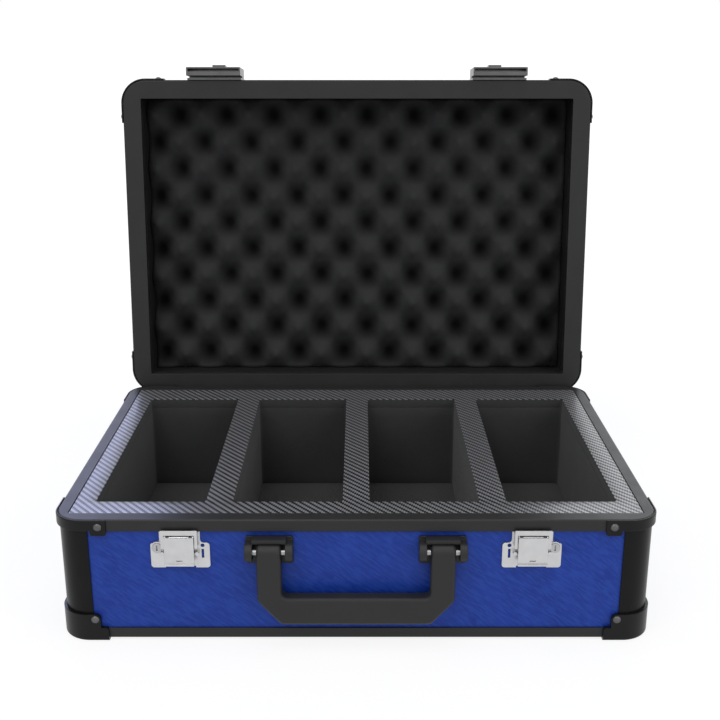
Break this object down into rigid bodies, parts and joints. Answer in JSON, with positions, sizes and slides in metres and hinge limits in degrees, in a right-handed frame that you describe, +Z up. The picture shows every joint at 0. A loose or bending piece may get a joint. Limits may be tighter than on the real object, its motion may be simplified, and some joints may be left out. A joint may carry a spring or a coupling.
{
  "type": "card slab case",
  "caption": "Hard carrying case for graded card slabs, with edged panels, foam lanes, egg-crate foam in the hinged lid, a swing handle and lever latches with locks.",
  "frame": {"origin": "on the floor, under the middle of the open case's bounding box", "axes": "+X to the right as seen from the front, +Y to the back, +Z up; the lid stands open"},
  "size_m": [0.4964, 0.4538, 0.4478],
  "materials": {
    "blue_laminate": "satin",
    "black_edging": "satin",
    "black_corners": "satin",
    "rivet_steel": "polished",
    "latch_steel": "satin",
    "hinge_steel": "satin",
    "handle_plastic": "satin",
    "strike_plastic": "satin",
    "black_foam": "matte",
    "twill_sheet": "satin"
  },
  "bodies": {
    "base": {"base_rim_frame": "black_edging", "base_front_panel": "blue_laminate", "base_rear_panel": "blue_laminate", "base_left_panel": "blue_laminate", "base_right_panel": "blue_laminate", "base_outer_board": "blue_laminate", "base_corner_posts": "black_edging", "base_edging": "black_edging", "base_boot_front_left": "black_corners", "base_boot_front_right": "black_corners", "base_boot_rear_left": "black_corners", "base_boot_rear_right": "black_corners", "base_rim_cap_front_left": "black_corners", "base_rim_cap_front_right": "black_corners", "base_rim_cap_rear_left": "black_corners", "base_rim_cap_rear_right": "black_corners", "base_rivets": "rivet_steel", "foam_base_pad": "black_foam", "foam_insert": "black_foam", "foam_top_sheet": "twill_sheet", "handle_bracket_left": "handle_plastic", "handle_bracket_right": "handle_plastic", "handle_pins": "rivet_steel", "latch_plate_left": "latch_steel", "latch_plate_right": "latch_steel", "latch_lever_pins": "latch_steel", "hinge_base_leaf": "hinge_steel", "hinge_pin": "hinge_steel"},
    "lid": {"lid_rim_frame": "black_edging", "lid_front_panel": "blue_laminate", "lid_rear_panel": "blue_laminate", "lid_left_panel": "blue_laminate", "lid_right_panel": "blue_laminate", "lid_outer_board": "blue_laminate", "lid_corner_posts": "black_edging", "lid_edging": "black_edging", "lid_boot_front_left": "black_corners", "lid_boot_front_right": "black_corners", "lid_boot_rear_left": "black_corners", "lid_boot_rear_right": "black_corners", "lid_rim_cap_front_left": "black_corners", "lid_rim_cap_front_right": "black_corners", "lid_rim_cap_rear_left": "black_corners", "lid_rim_cap_rear_right": "black_corners", "lid_rivets": "rivet_steel", "lid_lining": "black_foam", "lid_foam": "black_foam", "strike_left": "strike_plastic", "strike_right": "strike_plastic", "hinge_lid_leaf": "hinge_steel"},
    "handle": {"handle_grip": "handle_plastic"},
    "latch_lever_left": {"latch_lever_left": "latch_steel"},
    "latch_claw_left": {"latch_claw_left": "latch_steel"},
    "lock_cylinder_left": {"latch_lock_cylinder_left": "latch_steel"},
    "latch_lever_right": {"latch_lever_right": "latch_steel"},
    "latch_claw_right": {"latch_claw_right": "latch_steel"},
    "lock_cylinder_right": {"latch_lock_cylinder_right": "latch_steel"}
  },
  "joints": [
    {"name": "lid_hinge", "type": "hinge", "parent": "base", "child": "lid", "pos_m": [0, 0.11864, 0.10415], "axis": [1, 0, 0], "range_deg": [0, 96]},
    {"name": "handle_swing", "type": "hinge", "parent": "base", "child": "handle", "pos_m": [0, -0.21941, 0.085], "axis": [-1, 0, 0], "range_deg": [0, 100]},
    {"name": "latch_lever_left", "type": "hinge", "parent": "base", "child": "latch_lever_left", "pos_m": [-0.1425, -0.21451, 0.095], "axis": [-1, 0, 0], "range_deg": [0, 100]},
    {"name": "latch_claw_left", "type": "slide", "parent": "base", "child": "latch_claw_left", "axis": [0, 0, 1], "range_m": [0, 0.006]},
    {"name": "lock_left", "type": "hinge", "parent": "base", "child": "lock_cylinder_left", "pos_m": [-0.1608, -0.20991, 0.0855], "axis": [0, 1, 0], "range_deg": [0, 90]},
    {"name": "latch_lever_right", "type": "hinge", "parent": "base", "child": "latch_lever_right", "pos_m": [0.1425, -0.21451, 0.095], "axis": [-1, 0, 0], "range_deg": [0, 100]},
    {"name": "latch_claw_right", "type": "slide", "parent": "base", "child": "latch_claw_right", "axis": [0, 0, 1], "range_m": [0, 0.006]},
    {"name": "lock_right", "type": "hinge", "parent": "base", "child": "lock_cylinder_right", "pos_m": [0.1608, -0.20991, 0.0855], "axis": [0, 1, 0], "range_deg": [0, 90]}
  ],
  "couplings": [
    {"joint": "latch_claw_left", "follows": "latch_lever_left", "m_per_rad": 0.003437},
    {"joint": "latch_claw_right", "follows": "latch_lever_right", "m_per_rad": 0.003437}
  ]
}
